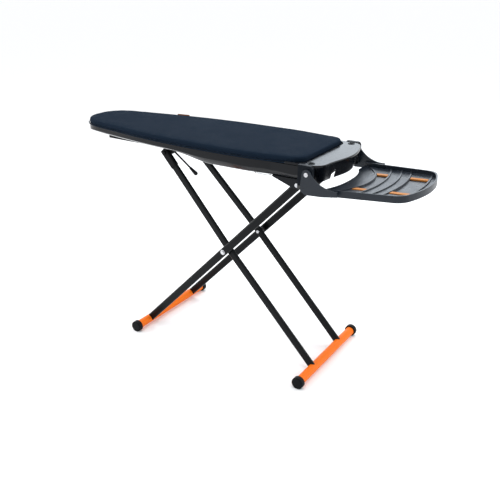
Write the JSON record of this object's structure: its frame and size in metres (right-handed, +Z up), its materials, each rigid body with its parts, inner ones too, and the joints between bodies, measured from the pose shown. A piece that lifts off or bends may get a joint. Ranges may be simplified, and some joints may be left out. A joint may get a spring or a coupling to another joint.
{
  "type": "ironing board",
  "caption": "Padded ironing board on folding crossed legs with a glossy hull, sliding height catch and a hinged iron tray.",
  "frame": {"origin": "on the floor under the middle of the overall length and width, with the board at working height", "axes": "+X from the nose towards the iron tray, +Y to the left side of somebody facing +X, +Z up"},
  "size_m": [1.6259, 0.527, 0.938],
  "materials": {
    "cover_fabric": "dark slate woven cotton, matt",
    "mesh_steel": "black paint, satin",
    "hull_plastic": "black moulding, high gloss",
    "socket_plastic": "black moulding, fine grain",
    "cheek_plastic": "black moulding, satin",
    "bracket_steel": "black powder coat",
    "frame_paint": "black powder coat, satin",
    "foot_orange": "orange powder coat, satin",
    "cap_plastic": "black moulding, soft satin",
    "rail_steel": "rolled steel, painted black",
    "stop_rubber": "black rubber",
    "fastener_steel": "bright zinc",
    "spacer_nylon": "dark nylon",
    "bridge_steel": "black paint",
    "knob_plastic": "black moulding with soft touch",
    "tray_plastic": "blue-grey moulding, satin",
    "grip_rubber": "orange silicone",
    "motor_metal": "grey paint",
    "impeller_plastic": "grey moulding",
    "rocker_plastic": "orange moulding",
    "wire_steel": "bright wire",
    "clip_plastic": "black moulding"
  },
  "bodies": {
    "board": {"padded_cover": "cover_fabric", "mesh_top": "mesh_steel", "hull": "hull_plastic", "heel_deck": "hull_plastic", "socket_sleeves": "socket_plastic", "heel_apron": "hull_plastic", "side_cheek_left": "cheek_plastic", "side_cheek_right": "cheek_plastic", "leg_bracket_left": "bracket_steel", "leg_bracket_right": "bracket_steel", "slide_rail_left": "rail_steel", "slide_rail_right": "rail_steel", "tray_pivot_pins": "fastener_steel", "leg_axle": "fastener_steel", "bracket_screws": "fastener_steel", "pivot_spacers": "spacer_nylon", "rail_end_stops": "stop_rubber", "rail_mounts": "bracket_steel", "height_rack": "bracket_steel", "tray_bushes": "spacer_nylon", "tray_stops": "stop_rubber", "fan_housing": "socket_plastic", "fan_motor": "motor_metal", "fan_grille": "socket_plastic", "switch_bezel": "socket_plastic", "power_inlet": "socket_plastic", "lock_clips": "clip_plastic"},
    "outer_frame": {"outer_leg_left": "frame_paint", "outer_leg_right": "frame_paint", "outer_foot_bar": "foot_orange", "outer_foot_caps": "cap_plastic", "crossing_bolts": "fastener_steel", "crossing_nuts": "fastener_steel", "crossing_washers": "fastener_steel", "crossing_spacers": "spacer_nylon"},
    "inner_frame": {"inner_leg_left": "frame_paint", "inner_leg_right": "frame_paint", "inner_foot_bar": "foot_orange", "inner_foot_caps": "cap_plastic", "carriage_axle": "fastener_steel", "axle_end_caps": "cap_plastic", "leg_end_sleeves": "cap_plastic"},
    "carriage": {"carriage_blocks": "spacer_nylon", "carriage_bridge": "bridge_steel"},
    "height_lever": {"height_lever": "bridge_steel", "lever_knob": "knob_plastic", "latch_pawl": "fastener_steel"},
    "tray": {"iron_tray": "tray_plastic", "tray_grips": "grip_rubber"},
    "fan_impeller": {"fan_impeller": "impeller_plastic"},
    "switch_rocker": {"switch_rocker": "rocker_plastic"},
    "transport_lock": {"transport_lock": "wire_steel"}
  },
  "joints": [
    {"name": "fold", "type": "hinge", "parent": "board", "child": "outer_frame", "pos_m": [0.36061, 0, 0.82846], "axis": [0, 1, 0], "range_deg": [0, 42.5]},
    {"name": "cross", "type": "hinge", "parent": "outer_frame", "child": "inner_frame", "pos_m": [0.011, 0, 0.471], "axis": [0, 1, 0], "range_deg": [-85.01, 0]},
    {"name": "carriage_level", "type": "hinge", "parent": "inner_frame", "child": "carriage", "pos_m": [-0.33166, 0, 0.83512], "axis": [0, 1, 0], "range_deg": [0, 42.51]},
    {"name": "lever_squeeze", "type": "hinge", "parent": "carriage", "child": "height_lever", "pos_m": [-0.33166, -0.046, 0.83512], "axis": [0, -1, 0], "range_deg": [0, 16], "stiffness_Nm_per_rad": 0.6},
    {"name": "tray_fold", "type": "hinge", "parent": "board", "child": "tray", "pos_m": [0.419, 0, 0.8886], "axis": [0, -1, 0], "range_deg": [0, 175.8]},
    {"name": "impeller_spin", "type": "hinge", "parent": "board", "child": "fan_impeller", "pos_m": [0.227, 0, 0.867], "axis": [0, 0, 1], "continuous": true},
    {"name": "switch_tilt", "type": "hinge", "parent": "board", "child": "switch_rocker", "pos_m": [0.317, 0.192, 0.891], "axis": [0, 0, 1], "range_deg": [0, 12]},
    {"name": "lock_swing", "type": "hinge", "parent": "board", "child": "transport_lock", "pos_m": [0.208, -0.141, 0.8484], "axis": [1, 0, 0], "range_deg": [0, 90]}
  ],
  "couplings": [
    {"joint": "cross", "follows": "fold", "ratio": -2},
    {"joint": "carriage_level", "follows": "fold", "ratio": 1}
  ]
}
